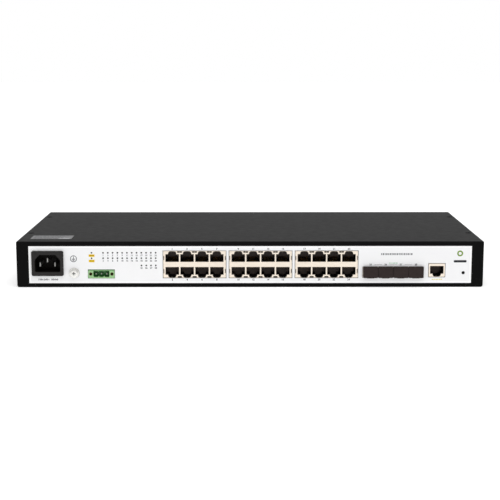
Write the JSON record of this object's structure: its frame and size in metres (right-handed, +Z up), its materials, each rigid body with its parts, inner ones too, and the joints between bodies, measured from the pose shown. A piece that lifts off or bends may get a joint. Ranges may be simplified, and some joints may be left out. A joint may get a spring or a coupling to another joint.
{
  "type": "rackmount network switch",
  "caption": "Flat one-unit rack switch: black steel case, white front film, shielded modular jack blocks, plugged optical cages, console jack, mains inlet and ground terminal.",
  "frame": {"origin": "centre of the bottom face, under the middle of the case", "axes": "+X to the right as seen from the front, +Y to the rear, +Z up; the front panel's face is at y = -0.1 m"},
  "size_m": [0.44, 0.2035, 0.0438],
  "materials": {
    "black_steel": "fine-textured black powder coat over 1 mm steel",
    "printed_film": "white polyester film with a satin face, printed from behind",
    "label_foil": "satin grey label",
    "black_screw": "black oxide",
    "nickel_plate": "bright nickel plate",
    "inlet_plastic": "fine matt moulding",
    "green_plastic": "satin green moulding",
    "tinned_steel": "bright tin plate, slightly warm",
    "black_plastic": "matt black moulding",
    "plug_rubber": "soft dark brown-grey rubber",
    "clear_plastic": "clear moulding",
    "circuit_board": "green solder mask",
    "chip_package": "black epoxy",
    "finned_aluminium": "clear anodised",
    "insulating_sheet": "satin polyester sheet",
    "transformer_tape": "yellow winding tape",
    "capacitor_sleeve": "dark blue shrink sleeve",
    "brown_insulation": "PVC",
    "blue_insulation": "PVC",
    "green_yellow_insulation": "PVC, green with a yellow stripe",
    "red_insulation": "PVC"
  },
  "bodies": {
    "chassis": {"chassis_tray": "black_steel", "front_panel": "black_steel", "top_cover": "black_steel", "front_overlay": "printed_film", "rating_label": "label_foil", "cover_screw_1": "black_screw", "cover_screw_2": "black_screw", "cover_screw_3": "black_screw", "cover_screw_4": "black_screw", "ground_washer": "nickel_plate", "ground_screw": "nickel_plate", "inlet_line_pin": "nickel_plate", "inlet_neutral_pin": "nickel_plate", "inlet_earth_pin": "nickel_plate", "battery_pin_1": "nickel_plate", "battery_pin_2": "nickel_plate", "battery_pin_3": "nickel_plate", "board_standoff_1": "nickel_plate", "board_standoff_2": "nickel_plate", "board_standoff_3": "nickel_plate", "board_standoff_4": "nickel_plate", "power_standoff_1": "nickel_plate", "power_standoff_2": "nickel_plate", "power_standoff_3": "nickel_plate", "power_standoff_4": "nickel_plate", "power_inlet": "inlet_plastic", "battery_header": "green_plastic", "jack_shield_1": "tinned_steel", "jack_shield_2": "tinned_steel", "jack_shield_3": "tinned_steel", "console_shield": "tinned_steel", "sfp_cage": "tinned_steel", "jack_core_1": "black_plastic", "jack_core_2": "black_plastic", "jack_core_3": "black_plastic", "console_core": "black_plastic", "reset_switch": "black_plastic", "status_light_guide": "clear_plastic", "port_light_guide": "clear_plastic", "uplink_light_guide": "clear_plastic", "main_board": "circuit_board", "power_board": "circuit_board", "switch_chip": "chip_package", "phy_chip_1": "chip_package", "phy_chip_2": "chip_package", "phy_chip_3": "chip_package", "switch_heatsink": "finned_aluminium", "power_heatsink": "finned_aluminium", "power_insulator": "insulating_sheet", "power_transformer": "transformer_tape", "bulk_capacitor": "capacitor_sleeve", "line_wire": "brown_insulation", "neutral_wire": "blue_insulation", "earth_wire": "green_yellow_insulation", "dc_cable": "red_insulation"},
    "sfp_plug_1": {"sfp_plug_1": "plug_rubber"},
    "sfp_plug_2": {"sfp_plug_2": "plug_rubber"},
    "sfp_plug_3": {"sfp_plug_3": "plug_rubber"},
    "sfp_plug_4": {"sfp_plug_4": "plug_rubber"},
    "reset_button": {"reset_button": "black_plastic"}
  },
  "joints": [
    {"name": "sfp_plug_1_pull", "type": "slide", "parent": "chassis", "child": "sfp_plug_1", "axis": [0, -1, 0], "range_m": [0, 0.03]},
    {"name": "sfp_plug_2_pull", "type": "slide", "parent": "chassis", "child": "sfp_plug_2", "axis": [0, -1, 0], "range_m": [0, 0.03]},
    {"name": "sfp_plug_3_pull", "type": "slide", "parent": "chassis", "child": "sfp_plug_3", "axis": [0, -1, 0], "range_m": [0, 0.03]},
    {"name": "sfp_plug_4_pull", "type": "slide", "parent": "chassis", "child": "sfp_plug_4", "axis": [0, -1, 0], "range_m": [0, 0.03]},
    {"name": "reset_button_press", "type": "slide", "parent": "chassis", "child": "reset_button", "axis": [0, 1, 0], "range_m": [0, 0.0005], "stiffness_N_per_m": 60, "springref_m": -0.0003}
  ]
}
